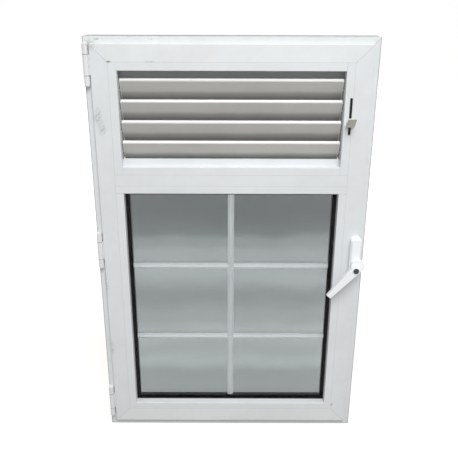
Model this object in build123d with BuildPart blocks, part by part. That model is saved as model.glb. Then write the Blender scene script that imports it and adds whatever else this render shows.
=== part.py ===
from build123d import *
import os
from math import acos, atan2, cos, hypot, radians, sin

# Hinged aluminium window with a glazed lower light and a louvred upper light.
# X runs along the sill, -Y faces the room, +Y faces outdoors and +Z is up.
# The origin lies on the sill's underside, midway along it and midway through its depth.

# Outer frame
window_width = 700
window_height = 1100
frame_depth = 50
frame_tube = 20
frame_wall = 1.5
stop_reach = 18
stop_thickness = 6
groove_setback = 3
groove_width = 3
groove_depth = 4

# Sash
sash_reveal = 15.5
sash_face = 41.5
sash_proud = 8
sash_wall = 1.5
flange_reach = 8
sash_seal = 1
rear_seal = 2
lip_reach = 16
lip_thickness = 4
transom_face = 29.5
edge_round = 1

# Glazing
bead_width = 20
bead_wall = 1.3
bead_round = 1.2
pane_thickness = 4
pane_gap = 12
pane_edge_clearance = 5
spacer_setback = 1
spacer_height = 24
inner_gasket = 2
outer_gasket = 3
gasket_seat = 8
gasket_show = 3
seal_width = 3
seal_setback = 1.5
rear_seal_width = 8

# Louvre
slat_count = 4
slat_pitch = 50.8
slat_head_room = 67.8
slat_foot_room = 55.8
slat_width = 60
slat_thickness = 7.2
slat_edge_slant = 3.5
slat_crown = 0.6
slat_wall = 1.2
slat_angle = 62
slat_end_gap = 3
cap_thickness = 2
pivot_depth = 20
pin_radius = 3
pin_clearance = 0.08
pin_reach = 8
top_lip_reach = 22
top_lip_depth = 23
top_lip_thickness = 4
bottom_lip_reach = 17
bottom_lip_depth = 12
bottom_lip_thickness = 3

# Louvre pull
slot_width = 4.2
slot_length = 88
slot_side_margin = 4.7
slot_above_transom = 104.4
pull_rise = 19.5
stem_width = 3.4
stem_height = 8
stem_standoff = 5.5
drive_bar_width = 6
drive_bar_thickness = 4
drive_bar_clearance = 0.6
drive_bar_below = 76
drive_bar_above = 78
tab_width = 20
tab_thickness = 3
tab_reach = 32
tab_rise = 25

# Hinges
hinge_height = 96
hinge_top_inset = 64
hinge_bottom_inset = 85
knuckle_radius = 6.6
knuckle_share = 0.5
knuckle_gap = 1
hinge_plate = 1.2
hinge_plate_width = 12
hinge_axis_inset = 6.6
tongue_thickness = 4.5
hinge_pin_radius = 3
hinge_pin_clearance = 0.06

# Handle
handle_inset = 24.2
spindle_height = 520
base_above = 82
base_below = 27
base_width = 28
base_rise = 16
base_corner = 10.4
base_chamfer = 4
hub_gap = 0.4
heel_radius = 17.5
heel_offset = 9.5
hub_rise = 10
arm_length = 102
arm_root_radius = 11.5
arm_tip_width = 13
arm_thickness = 12.5
arm_chamfer = 1.5
lever_angle = 41
cap_radius = 7.3
cap_rise = 2
cap_chamfer = 0.6

# Depths along Y that every piece shares
frame_front = -frame_depth / 2
frame_back = frame_depth / 2
stop_front = frame_back - stop_thickness
groove_front = frame_front + groove_setback
groove_back = groove_front + groove_width
sash_front = frame_front - sash_proud
flange_back = frame_front - sash_seal
sash_back = stop_front - rear_seal
lip_front = sash_back - lip_thickness
glass_back = lip_front - outer_gasket
glass_front = glass_back - pane_gap - 2 * pane_thickness
bead_back = glass_front - inner_gasket
pivot_y = frame_front + pivot_depth


def inset(rect, distance):
    left, bottom, right, top = rect
    return (left + distance, bottom + distance, right - distance, top - distance)


# Rectangles in the window's plane as left, bottom, right and top
frame_rect = (-window_width / 2, 0, window_width / 2, window_height)
sash_rect = inset(frame_rect, sash_reveal)
rebate_rect = inset(sash_rect, sash_face)
louvre_height = slat_head_room + (slat_count - 1) * slat_pitch + slat_foot_room
transom_top = rebate_rect[3] - louvre_height
transom_bottom = transom_top - transom_face
louvre_rect = (rebate_rect[0], transom_top, rebate_rect[2], rebate_rect[3])
glazed_rect = (rebate_rect[0], rebate_rect[1], rebate_rect[2], transom_bottom)
opening_half = rebate_rect[2] - bead_width

parts = []


def keep(builder, name):
    builder.part.label = name
    parts.append(builder.part)


def edge_plane(side, rect):
    """Plane across one side of a rectangle: local x points inwards and local y points outdoors."""
    left, bottom, right, top = rect
    middle_x, middle_z = (left + right) / 2, (bottom + top) / 2
    origins = {
        "left": (left, 0, middle_z),
        "right": (right, 0, middle_z),
        "bottom": (middle_x, 0, bottom),
        "top": (middle_x, 0, top),
    }
    inwards = {"left": (1, 0, 0), "right": (-1, 0, 0), "bottom": (0, 0, 1), "top": (0, 0, -1)}
    along = {"left": (0, 0, 1), "right": (0, 0, -1), "bottom": (-1, 0, 0), "top": (1, 0, 0)}
    return Plane(origin=origins[side], x_dir=inwards[side], z_dir=along[side])


def side_length(side, rect):
    left, bottom, right, top = rect
    return top - bottom if side in ("left", "right") else right - left


def room_plane(y):
    """Upright plane at depth y, drawn as seen from the room."""
    return Plane(origin=(0, y, 0), x_dir=(1, 0, 0), z_dir=(0, -1, 0))


def span(x1, y1, x2, y2, mode=Mode.ADD):
    """Rectangle between two opposite corners."""
    with Locations(((x1 + x2) / 2, (y1 + y2) / 2)):
        Rectangle(abs(x2 - x1), abs(y2 - y1), mode=mode)


def frame_profile():
    """Tube with a clip groove outside and a stop leg behind the sash."""
    wall = frame_wall
    with BuildSketch() as profile:
        span(0, frame_front, frame_tube, frame_back)
        span(frame_tube, stop_front, frame_tube + stop_reach, frame_back)
        span(0, groove_front, groove_depth, groove_back, Mode.SUBTRACT)
        span(groove_depth + wall, frame_front + wall, frame_tube - wall, groove_back + wall, Mode.SUBTRACT)
        span(wall, groove_back + wall, frame_tube - wall, frame_back - wall, Mode.SUBTRACT)
        span(
            frame_tube, stop_front + wall, frame_tube + stop_reach - wall, frame_back - wall, Mode.SUBTRACT
        )
    return profile.sketch


def sash_profile():
    """Two chambers, a flange over the frame's face and a lip that holds the glass from outdoors."""
    wall = sash_wall
    web = (sash_front + sash_back) / 2
    with BuildSketch() as profile:
        span(flange_reach, sash_front, sash_face, sash_back)
        span(0, sash_front, flange_reach, flange_back)
        span(sash_face, lip_front, sash_face + lip_reach, sash_back)
        edge = profile.vertices().group_by(Axis.Y)[0].sort_by(Axis.X)[0]
        fillet(edge, edge_round)
        span(wall, sash_front + wall, flange_reach, flange_back - wall, Mode.SUBTRACT)
        span(flange_reach + wall, sash_front + wall, sash_face - wall, web, Mode.SUBTRACT)
        span(flange_reach + wall, web + wall, sash_face - wall, sash_back - wall, Mode.SUBTRACT)
    return profile.sketch


def transom_profile():
    """The crossbar: one box with a lip above and a lip below. Local x runs up from its underside."""
    wall = sash_wall
    with BuildSketch() as profile:
        span(0, sash_front, transom_face, sash_back)
        span(-lip_reach, lip_front, transom_face + lip_reach, sash_back)
        span(wall, sash_front + wall, transom_face - wall, sash_back - wall, Mode.SUBTRACT)
    return profile.sketch


def bead_profile(back):
    """Hollow bead from the sash's inner wall, rounded where it meets the light."""
    with BuildSketch() as profile:
        span(0, sash_front, bead_width, back)
        edge = profile.vertices().group_by(Axis.Y)[0].sort_by(Axis.X)[-1]
        fillet(edge, bead_round)
        offset(amount=-bead_wall, mode=Mode.SUBTRACT)
    return profile.sketch


def mitred_bar(side, rect, profile, name):
    """One side of a ring of bars, cut at 45 degrees at both ends."""
    seat = edge_plane(side, rect)
    half = side_length(side, rect) / 2
    with BuildPart() as bar:
        with BuildSketch(seat):
            add(profile)
        extrude(amount=half, both=True)
        for end in (1, -1):
            corner = seat.origin + seat.z_dir * half * end
            keep_side = (seat.x_dir + seat.z_dir * end) * -1
            split(bisect_by=Plane(origin=corner, z_dir=keep_side), keep=Keep.TOP)
    keep(bar, name)


def square_bar(side, rect, length, profile, name):
    """One side of a ring of bars, cut square, with its middle at the side's middle."""
    with BuildPart() as bar:
        with BuildSketch(edge_plane(side, rect)):
            add(profile)
        extrude(amount=length / 2, both=True)
    keep(bar, name)


def ring(outer, inner, y_from, y_to):
    """Flat ring between two rectangles, added to the part that is being built."""
    with BuildSketch(room_plane(y_to)) as flat:
        span(*outer)
        span(*inner, Mode.SUBTRACT)
    extrude(flat.sketch, amount=y_to - y_from)


def frame():
    names = {"top": "frame_head", "bottom": "frame_sill", "left": "frame_jamb_left", "right": "frame_jamb_right"}
    for side, name in names.items():
        mitred_bar(side, frame_rect, frame_profile(), name)


def sash():
    names = {
        "top": "sash_top_rail",
        "bottom": "sash_bottom_rail",
        "left": "sash_stile_left",
        "right": "sash_stile_right",
    }
    for side, name in names.items():
        mitred_bar(side, sash_rect, sash_profile(), name)


def transom():
    """Spans between the stiles, with its back notched at both ends to clear their lips."""
    half = side_length("bottom", rebate_rect) / 2
    seat = edge_plane("bottom", (rebate_rect[0], transom_bottom, rebate_rect[2], transom_top))
    with BuildPart() as bar:
        with BuildSketch(seat):
            add(transom_profile())
        extrude(amount=half, both=True)
        for direction in (1, -1):
            with BuildSketch(Plane.YZ.offset(direction * (half - lip_reach))):
                span(lip_front, transom_bottom - lip_reach, sash_back, transom_top + lip_reach)
            extrude(amount=direction * lip_reach, mode=Mode.SUBTRACT)
    keep(bar, "sash_transom")


def glazing_beads():
    """Top and bottom beads run full width and the side beads stand between them."""
    width = side_length("bottom", glazed_rect)
    height = side_length("left", glazed_rect) - 2 * bead_width
    lengths = {"top": width, "bottom": width, "left": height, "right": height}
    for side, length in lengths.items():
        square_bar(side, glazed_rect, length, bead_profile(bead_back), "glazing_bead_" + side)


def glass():
    """Two panes apart by a spacer, with rubber between them and the beads and lips."""
    unit_rect = inset(glazed_rect, pane_edge_clearance)
    depths = {"glass_inner": glass_front + pane_thickness, "glass_outer": glass_back}
    for name, back in depths.items():
        with BuildPart() as pane:
            with BuildSketch(room_plane(back)):
                span(*unit_rect)
            extrude(amount=pane_thickness)
        keep(pane, name)
    spacer_rect = inset(unit_rect, spacer_setback)
    with BuildPart() as spacer:
        ring(
            spacer_rect,
            inset(spacer_rect, spacer_height),
            glass_front + pane_thickness,
            glass_back - pane_thickness,
        )
    keep(spacer, "glass_spacer")


def gaskets():
    bead_edge = inset(glazed_rect, bead_width)
    lip_edge = inset(glazed_rect, lip_reach)
    with BuildPart() as glazing:
        ring(inset(bead_edge, -gasket_seat), inset(bead_edge, gasket_show), bead_back, glass_front)
        ring(inset(lip_edge, -gasket_seat), inset(lip_edge, gasket_show / 2), glass_back, lip_front)
    keep(glazing, "glazing_gaskets")
    seal = inset(sash_rect, seal_setback)
    rear = inset(sash_rect, flange_reach + seal_setback)
    with BuildPart() as seals:
        ring(seal, inset(seal, seal_width), flange_back, frame_front)
        ring(rear, inset(rear, rear_seal_width), sash_back, stop_front)
    keep(seals, "sash_seals")


def slat_pivots():
    """Heights of the slats' pivots, from the top one down."""
    first = rebate_rect[3] - slat_head_room
    return [first - slat_pitch * number for number in range(slat_count)]


slot_x = rebate_rect[2] - slot_side_margin
slot_low = transom_top + slot_above_transom
stem_z = slot_low + stem_height / 2 + pull_rise


def louvre_side(side):
    """Hollow upright that carries the slats' pins. The right one has the slot for the pull."""
    direction = 1 if side == "right" else -1
    with BuildPart() as upright:
        with BuildSketch(edge_plane(side, louvre_rect)):
            add(bead_profile(lip_front))
        extrude(amount=louvre_height / 2, both=True)
        for pivot_z in slat_pivots():
            with BuildSketch(Plane.YZ.offset(direction * opening_half)):
                with Locations((pivot_y, pivot_z)):
                    Circle(pin_radius + pin_clearance)
            extrude(amount=direction * 2 * bead_wall, mode=Mode.SUBTRACT)
        if side == "right":
            with BuildSketch(room_plane(sash_front + 2 * bead_wall)):
                with Locations((slot_x, slot_low + slot_length / 2)):
                    SlotOverall(slot_length, slot_width, rotation=90)
            extrude(amount=3 * bead_wall, mode=Mode.SUBTRACT)
    keep(upright, "louvre_side_" + side)


def louvre_rail(side, reach, depth, thickness):
    """Bead between the uprights with a lip that closes the gap to the end slat."""
    lip_y = frame_front + depth
    with BuildPart() as rail:
        with BuildSketch(edge_plane(side, louvre_rect)):
            add(bead_profile(lip_front))
            span(bead_width, lip_y, bead_width + reach, lip_y + thickness)
        extrude(amount=opening_half, both=True)
    keep(rail, "louvre_rail_" + side)


def slat_section():
    """Bulged blade with slanted edges. Local x runs from its upper edge to its lower edge."""
    reach = slat_width / 2
    half = slat_thickness / 2
    crown = half + slat_crown
    with BuildSketch() as section:
        with BuildLine():
            ThreePointArc((-reach, half), (0, crown), (reach - slat_edge_slant, half))
            Line((reach - slat_edge_slant, half), (reach, -half))
            ThreePointArc((reach, -half), (0, -crown), (slat_edge_slant - reach, -half))
            Line((slat_edge_slant - reach, -half), (-reach, half))
        make_face()
    return section.sketch


def slats():
    """Hollow blades, each with an end cap and a pin at both ends."""
    tilt = radians(slat_angle)
    cap_face = opening_half - slat_end_gap
    for number, pivot_z in enumerate(slat_pivots(), start=1):
        seat = Plane(origin=(0, pivot_y, pivot_z), x_dir=(0, cos(tilt), -sin(tilt)), z_dir=(1, 0, 0))
        with BuildPart() as slat:
            with BuildSketch(seat):
                add(slat_section())
                offset(amount=-slat_wall, mode=Mode.SUBTRACT)
            extrude(amount=cap_face - cap_thickness, both=True)
        keep(slat, f"louvre_slat_{number}")
        with BuildPart() as caps:
            with BuildSketch(seat.offset(cap_face - cap_thickness)):
                add(slat_section())
            extrude(amount=cap_thickness)
            with BuildSketch(seat.offset(cap_face)):
                Circle(pin_radius)
            extrude(amount=slat_end_gap + pin_reach)
            mirror(about=Plane.YZ)
        keep(caps, f"slat_{number}_caps")


def louvre_pull():
    """Bar that slides inside the right upright, and the tab that moves it through the slot."""
    bar_front = sash_front + bead_wall + drive_bar_clearance
    stem_front = sash_front - stem_standoff
    with BuildPart() as bar:
        with BuildSketch(room_plane(bar_front + drive_bar_thickness)):
            half = drive_bar_width / 2
            bar_x = min(slot_x, rebate_rect[2] - bead_wall - drive_bar_clearance - half)
            span(bar_x - half, stem_z - drive_bar_below, bar_x + half, stem_z + drive_bar_above)
        extrude(amount=drive_bar_thickness)
        with BuildSketch(room_plane(bar_front)):
            with Locations((slot_x, stem_z)):
                Rectangle(stem_width, stem_height)
        extrude(amount=bar_front - stem_front)
    keep(bar, "louvre_drive_bar")
    with BuildPart() as tab:
        with BuildSketch(Plane.YZ.offset(slot_x - tab_width / 2)):
            with BuildLine():
                low = stem_z - stem_height / 2
                Polyline(
                    (stem_front, low),
                    (stem_front, low + stem_height),
                    (stem_front - tab_reach, low + tab_rise + tab_thickness),
                    (stem_front - tab_reach, low + tab_rise),
                    (stem_front - tab_thickness, low),
                    close=True,
                )
            make_face()
        extrude(amount=tab_width)
    keep(tab, "louvre_pull_tab")


def hinge(name, middle_z):
    """Three knuckles on one pin: the outer two on the frame's face and the middle one on the sash."""
    axis_x = frame_rect[0] + hinge_axis_inset
    axis_y = frame_front - hinge_plate - knuckle_gap - knuckle_radius
    middle_length = hinge_height * knuckle_share
    outer_length = (hinge_height - middle_length) / 2 - knuckle_gap
    low = middle_z - hinge_height / 2
    bore = hinge_pin_radius + hinge_pin_clearance
    with BuildPart() as frame_leaf:
        for start in (low, low + hinge_height - outer_length):
            with BuildSketch(Plane.XY.offset(start)):
                with Locations((axis_x, axis_y)):
                    Circle(knuckle_radius)
                span(
                    axis_x - hinge_plate_width / 2, axis_y, axis_x + hinge_plate_width / 2, frame_front
                )
            extrude(amount=outer_length)
        with BuildSketch(Plane.XY.offset(low)):
            span(
                axis_x - hinge_plate_width / 2,
                frame_front - hinge_plate,
                axis_x + hinge_plate_width / 2,
                frame_front,
            )
        extrude(amount=hinge_height)
        with BuildSketch(Plane.XY.offset(low)):
            with Locations((axis_x, axis_y)):
                Circle(bore)
        extrude(amount=hinge_height, mode=Mode.SUBTRACT)
    keep(frame_leaf, f"hinge_{name}_frame_leaf")
    tongue_back = flange_back - sash_wall
    with BuildPart() as sash_leaf:
        with BuildSketch(Plane.XY.offset(middle_z - middle_length / 2)):
            with Locations((axis_x, axis_y)):
                Circle(knuckle_radius)
            span(axis_x, tongue_back - tongue_thickness, sash_rect[0], tongue_back)
            with Locations((axis_x, axis_y)):
                Circle(bore, mode=Mode.SUBTRACT)
        extrude(amount=middle_length)
    keep(sash_leaf, f"hinge_{name}_sash_leaf")
    with BuildPart() as pin:
        with BuildSketch(Plane.XY.offset(low)):
            with Locations((axis_x, axis_y)):
                Circle(hinge_pin_radius)
        extrude(amount=hinge_height)
    keep(pin, f"hinge_{name}_pin")


def hinges():
    """Three alike, with the middle one halfway between the other two."""
    top_z = window_height - hinge_top_inset
    heights = {"top": top_z, "middle": (top_z + hinge_bottom_inset) / 2, "bottom": hinge_bottom_inset}
    for name, middle_z in heights.items():
        hinge(name, middle_z)


def arm_outline():
    """Round root that narrows to a square tip. Local y points up the arm."""
    tip_x, tip_y = arm_tip_width / 2, -arm_length
    touch = atan2(tip_y, tip_x) + acos(arm_root_radius / hypot(tip_x, tip_y))
    root = (arm_root_radius * cos(touch), arm_root_radius * sin(touch))
    with BuildSketch() as outline:
        with BuildLine():
            ThreePointArc((-root[0], root[1]), (0, arm_root_radius), root)
            Polyline(root, (tip_x, tip_y), (-tip_x, tip_y), (-root[0], root[1]))
        make_face()
    return outline.sketch


def handle():
    """Upright base on the right stile, a lever that turns on it and the dark cap on the lever."""
    handle_x = window_width / 2 - handle_inset
    base_front = sash_front - base_rise
    with BuildPart() as base:
        with BuildSketch(room_plane(sash_front)):
            with Locations((handle_x, spindle_height + (base_above - base_below) / 2)):
                RectangleRounded(base_width, base_above + base_below, base_corner)
        extrude(amount=base_rise)
        chamfer(base.faces().sort_by(Axis.Y)[0].edges(), base_chamfer)
    keep(base, "handle_base")
    hub_back = base_front - hub_gap
    arm_back = hub_back - hub_rise
    tilt = radians(lever_angle)
    lever_plane = Plane(
        origin=(handle_x, hub_back, spindle_height), x_dir=(cos(tilt), 0, -sin(tilt)), z_dir=(0, -1, 0)
    )
    with BuildPart() as lever:
        with BuildSketch(lever_plane.offset(hub_rise)):
            add(arm_outline())
        extrude(amount=arm_thickness)
        chamfer(lever.faces().sort_by(Axis.Y)[0].edges(), arm_chamfer)
        with BuildSketch(lever_plane):
            with Locations((0, heel_offset)):
                Circle(heel_radius)
        extrude(amount=hub_rise)
    keep(lever, "handle_lever")
    cap_back = arm_back - arm_thickness
    with BuildPart() as cap:
        with BuildSketch(room_plane(cap_back)):
            with Locations((handle_x, spindle_height)):
                Circle(cap_radius)
        extrude(amount=cap_rise)
        chamfer(cap.faces().sort_by(Axis.Y)[0].edges(), cap_chamfer)
    keep(cap, "handle_cap")


frame()
sash()
transom()
glazing_beads()
glass()
gaskets()
louvre_side("left")
louvre_side("right")
louvre_rail("top", top_lip_reach, top_lip_depth, top_lip_thickness)
louvre_rail("bottom", bottom_lip_reach, bottom_lip_depth, bottom_lip_thickness)
slats()
louvre_pull()
hinges()
handle()

os.makedirs("parts", exist_ok=True)
for piece in parts:
    export_step(piece, f"parts/{piece.label}.step")
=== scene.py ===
import math
from contextlib import contextmanager

import bmesh
import bpy
from bpy.props import FloatProperty, FloatVectorProperty, PointerProperty
from mathutils import Matrix, Vector


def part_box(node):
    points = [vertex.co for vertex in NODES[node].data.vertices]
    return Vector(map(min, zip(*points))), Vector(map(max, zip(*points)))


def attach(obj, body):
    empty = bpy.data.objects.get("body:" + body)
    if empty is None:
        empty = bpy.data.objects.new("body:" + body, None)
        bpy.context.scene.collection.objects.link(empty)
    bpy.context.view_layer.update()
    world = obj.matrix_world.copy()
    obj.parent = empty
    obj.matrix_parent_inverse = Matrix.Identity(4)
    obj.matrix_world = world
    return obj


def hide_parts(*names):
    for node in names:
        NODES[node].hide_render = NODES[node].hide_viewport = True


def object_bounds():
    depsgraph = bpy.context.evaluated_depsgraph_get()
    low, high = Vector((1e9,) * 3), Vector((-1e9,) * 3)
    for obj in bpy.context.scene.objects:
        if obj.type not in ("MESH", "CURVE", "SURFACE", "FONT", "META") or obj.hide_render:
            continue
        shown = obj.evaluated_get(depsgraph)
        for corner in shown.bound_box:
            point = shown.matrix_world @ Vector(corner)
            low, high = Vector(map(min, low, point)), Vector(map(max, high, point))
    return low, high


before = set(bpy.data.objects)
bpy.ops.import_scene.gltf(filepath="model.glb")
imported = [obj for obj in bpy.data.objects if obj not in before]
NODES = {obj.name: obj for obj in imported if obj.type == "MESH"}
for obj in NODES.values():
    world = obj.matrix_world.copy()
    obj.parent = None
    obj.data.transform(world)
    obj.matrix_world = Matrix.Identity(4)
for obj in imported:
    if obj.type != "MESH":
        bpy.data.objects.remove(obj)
SOLIDS_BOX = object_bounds()

bl_info = {
    "name": "Louvred aluminium window",
    "version": (1, 0, 0),
    "blender": (4, 5, 0),
    "location": "View3D > Sidebar > Window",
    "description": "Dresses the solids of a hinged aluminium window and sets them in a plain studio",
    "category": "Object",
}

HANDED_PAIR = (-1, 1)
HINGES = ("top", "middle", "bottom")

# The slot in the louvre's right upright
SLOT_WIDTH = 0.0042
SLOT_LENGTH = 0.088
SLOT_ABOVE_TRANSOM_FOOT = 0.1499
SLOT_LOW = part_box("sash_transom")[0].z + SLOT_ABOVE_TRANSOM_FOOT
SLOT_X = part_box("louvre_side_right")[1].x - 0.0047

# Depth at which a slat's painted highlight on its upper edge ends and the painted shade on its room face
# starts
SLAT_FRONT = -0.0125

# Colours of dirt and wear, and of painted shade and painted highlight
# Painted shade along the frame's outer edges
EDGE_SHADE_BLACK = (0.07, 0.07, 0.07, 1)
# Painted shade on the slats' room faces
SLAT_SHADE_GREY = (0.10, 0.10, 0.10, 1)
# Painted shade on the glazing bars
BAR_SHADE_GREY = (0.12, 0.12, 0.12, 1)
SEAM_GREY = (0.2, 0.2, 0.2, 1)
# Grey of the smudges and of the painted shade below the top hinge
SMUDGE_AND_SHADE_GREY = (0.22, 0.24, 0.22, 1)
SCUFF_GREY = (0.22, 0.23, 0.24, 1)
SCRATCH_GREY = (0.45, 0.46, 0.47, 1)
# Painted shade inside the louvre's hollow uprights
HOLLOW_SHADE_BLACK = (0.012, 0.012, 0.013, 1)
LIP_SHADE = (0.05, 0.05, 0.045, 1)
# Painted highlight on the slats' upper edges
SLAT_EDGE_HIGHLIGHT = (0.86, 0.86, 0.86, 1)

# Settings


class WindowSizes(bpy.types.PropertyGroup):
    bar_width: FloatProperty(
        name="Glazing bar width", description="Width of the white bars between the panes",
        default=0.0165, unit="LENGTH",
    )
    bar_ridge: FloatProperty(
        name="Glazing bar ridge", description="Width of the flat ridge along each bar",
        default=0.006, unit="LENGTH",
    )
    bar_depth: FloatProperty(
        name="Glazing bar depth", description="Depth of a bar from ridge to ridge",
        default=0.0085, unit="LENGTH",
    )
    upper_bar_height: FloatProperty(
        name="Upper bar height", description="Height of the upper cross bar's middle above the sill",
        default=0.5030, unit="LENGTH",
    )
    lower_bar_height: FloatProperty(
        name="Lower bar height", description="Height of the lower cross bar's middle above the sill",
        default=0.2845, unit="LENGTH",
    )
    spacer_height: FloatProperty(
        name="Spacer height", description="How far the black spacer reaches in from the edge of the panes",
        default=0.024, unit="LENGTH",
    )
    brush_thickness: FloatProperty(
        name="Brush strip thickness", description="Thickness of the brush strips at the slats' ends",
        default=0.0018, unit="LENGTH",
    )
    brush_front: FloatProperty(
        name="Brush strip front", description="Depth at which the brush strips start",
        default=-0.0165, unit="LENGTH",
    )
    # The slat's pale room edge that this places is a painted highlight.
    slat_edge_start: FloatProperty(
        name="Slat edge start",
        description="Height above a slat's lowest point at which its rubbed room edge starts",
        default=0.0523, unit="LENGTH",
    )
    slot_rim: FloatProperty(
        name="Slot rim", description="Width of the black rim round the pull's slot",
        default=0.0011, unit="LENGTH",
    )
    pin_cap_radius: FloatProperty(
        name="Pin cap radius", description="Radius of the domed caps on the hinge pins",
        default=0.0054, unit="LENGTH",
    )
    pin_cap_height: FloatProperty(
        name="Pin cap height", description="Height of the domed caps on the hinge pins",
        default=0.0022, unit="LENGTH",
    )
    # The bushes are near black as painted shade in the gaps between the knuckles.
    washer_radius: FloatProperty(
        name="Hinge bush radius", description="Radius of the bushes' flanges between the knuckles",
        default=0.0065, unit="LENGTH",
    )
    washer_height: FloatProperty(
        name="Hinge bush height", description="Height of the bushes' flanges between the knuckles",
        default=0.003, unit="LENGTH",
    )
    drain_length: FloatProperty(
        name="Drain cover length", description="Length of the covers over the drain slots outdoors",
        default=0.034, unit="LENGTH",
    )
    drain_place: FloatProperty(
        name="Drain cover place", description="Distance of each drain cover from the window's middle",
        default=0.17, unit="LENGTH",
    )


class WindowFinishes(bpy.types.PropertyGroup):
    # The two bar paints are lit and shaded copies of one white: painted sheen on the level bars, painted
    # shade on the upright bars and the beads.
    crossbar_paint_lit: FloatVectorProperty(
        name="Crossbar paint", description="Powder coat on the level bars", subtype="COLOR", size=4,
        default=(0.765, 0.795, 0.80, 1.0), min=0.0, max=1.0,
    )
    upright_paint_shaded: FloatVectorProperty(
        name="Upright paint", description="Powder coat on the upright bars", subtype="COLOR", size=4,
        default=(0.74, 0.765, 0.785, 1.0), min=0.0, max=1.0,
    )
    # Darker than the frame's white: painted shade on the slats.
    slat_paint: FloatVectorProperty(
        name="Slat paint", description="Powder coat on the slats", subtype="COLOR", size=4,
        default=(0.595, 0.59, 0.57, 1.0), min=0.0, max=1.0,
    )
    handle_paint: FloatVectorProperty(
        name="Handle paint", description="Gloss paint on the handle", subtype="COLOR", size=4,
        default=(0.90, 0.93, 0.95, 1.0), min=0.0, max=1.0,
    )
    dust_colour: FloatVectorProperty(
        name="Dust colour", description="Workshop dust that lies on the paint", subtype="COLOR", size=4,
        default=(0.52, 0.51, 0.47, 1.0), min=0.0, max=1.0,
    )
    dust_amount: FloatProperty(
        name="Dust", description="How much dust lies on the window", subtype="FACTOR",
        default=0.16, min=0.0, max=1.0,
    )
    scuff_amount: FloatProperty(
        name="Scuffs", description="How many fine scratches and scuffs the paint carries", subtype="FACTOR",
        default=0.5, min=0.0, max=1.0,
    )


class StudioSettings(bpy.types.PropertyGroup):
    lamp_power: FloatProperty(
        name="Overhead lamp", description="Power of the large lamp above and in front", unit="POWER",
        default=88.0,
    )
    lamp_size: FloatProperty(
        name="Lamp size", description="Width of the square lamp", unit="LENGTH", default=1.5,
    )
    lamp_place: FloatVectorProperty(
        name="Lamp place", description="Where the lamp hangs", subtype="TRANSLATION", size=3,
        default=(0.55, -2.25, 3.4),
    )
    lamp_target: FloatVectorProperty(
        name="Lamp target", description="Point the lamp faces", subtype="TRANSLATION", size=3,
        default=(0.0, 0.0, 0.6),
    )
    sky_strength: FloatProperty(
        name="Light from above", description="Extra strength of the soft light from above", default=0.9,
        min=0.0,
    )
    room_strength: FloatProperty(
        name="Room light", description="Strength of the soft light from all sides", default=0.34, min=0.0,
    )
    floor_colour: FloatVectorProperty(
        name="Floor colour", description="Colour of the floor in the soft light", subtype="COLOR", size=4,
        default=(0.27, 0.26, 0.245, 1.0), min=0.0, max=1.0,
    )
    lens: FloatProperty(
        name="Lens", description="Focal length in millimetres", default=49.313,
    )
    pitch: FloatProperty(
        name="Camera pitch", description="How far the camera looks down", subtype="ANGLE", default=0.37553,
    )
    yaw: FloatProperty(
        name="Camera yaw", description="How far the camera turns to the handle side", subtype="ANGLE",
        default=0.00057,
    )
    roll: FloatProperty(
        name="Camera roll", description="How far the camera leans", subtype="ANGLE", default=0.00318,
    )
    camera_place: FloatVectorProperty(
        name="Camera place", description="Where the camera stands", subtype="TRANSLATION", size=3,
        default=(-0.00602, -1.549085, 1.219665),
    )


def sizes():
    return bpy.context.scene.window_sizes


def finishes():
    return bpy.context.scene.window_finishes


def studio():
    return bpy.context.scene.window_studio


# Modelling helpers


def clear_selection():
    if bpy.context.mode != "OBJECT":
        bpy.ops.object.mode_set(mode="OBJECT")
    bpy.ops.object.select_all(action="DESELECT")


def choose(piece):
    """Selects one piece alone and makes it active."""
    clear_selection()
    piece.select_set(True)
    bpy.context.view_layer.objects.active = piece


def rename(piece, name):
    piece.name = name
    piece.data.name = name
    return piece


def settle(piece, name):
    """Names the piece and moves its place into its mesh."""
    choose(rename(piece, name))
    bpy.ops.object.transform_apply(location=True, rotation=True, scale=True)
    return piece


def block(name, low, high):
    """Box between two corners, as a start for a piece."""
    clear_selection()
    low, high = Vector(low), Vector(high)
    bpy.ops.mesh.primitive_cube_add(size=1, location=(low + high) / 2, scale=high - low)
    return settle(bpy.context.object, name)


def disc(name, centre, radius, height, axis, sides):
    """Round billet centred on a point, as a start for a piece."""
    clear_selection()
    turn = {"Y": (math.pi / 2, 0, 0), "Z": (0, 0, 0)}[axis]
    bpy.ops.mesh.primitive_cylinder_add(
        vertices=sides, radius=radius, depth=height, location=centre, rotation=turn
    )
    return settle(bpy.context.object, name)


@contextmanager
def editing(piece):
    """Opens a piece for work on its faces, with none of them selected."""
    choose(piece)
    bpy.ops.object.mode_set(mode="EDIT")
    bpy.ops.mesh.select_mode(type="FACE")
    bpy.ops.mesh.select_all(action="DESELECT")
    yield
    bpy.ops.object.mode_set(mode="OBJECT")


def pick_faces(piece, wanted):
    """Selects exactly the faces that a test lets through."""
    shape = bmesh.from_edit_mesh(piece.data)
    for face in shape.faces:
        face.select_set(bool(wanted(face)))
    bmesh.update_edit_mesh(piece.data)


def facing(direction):
    """Test for faces that look along a direction."""
    direction = Vector(direction)
    return lambda face: face.normal.dot(direction) > 0.9


def soften(piece, angle):
    """Shades a piece smooth except along edges sharper than an angle in degrees."""
    choose(piece)
    bpy.ops.object.shade_smooth_by_angle(angle=math.radians(angle))
    return piece


def bevel_all(piece, width, segments=2, angle=40):
    """Rounds every sharp edge with a modifier that is applied at once."""
    bevel = piece.modifiers.new("Rounded edges", "BEVEL")
    bevel.width = width
    bevel.segments = segments
    bevel.limit_method = "ANGLE"
    bevel.angle_limit = math.radians(angle)
    apply_modifiers(piece)
    return soften(piece, 50)


def apply_modifiers(piece):
    choose(piece)
    for modifier in [item.name for item in piece.modifiers]:
        bpy.ops.object.modifier_apply(modifier=modifier)


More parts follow.
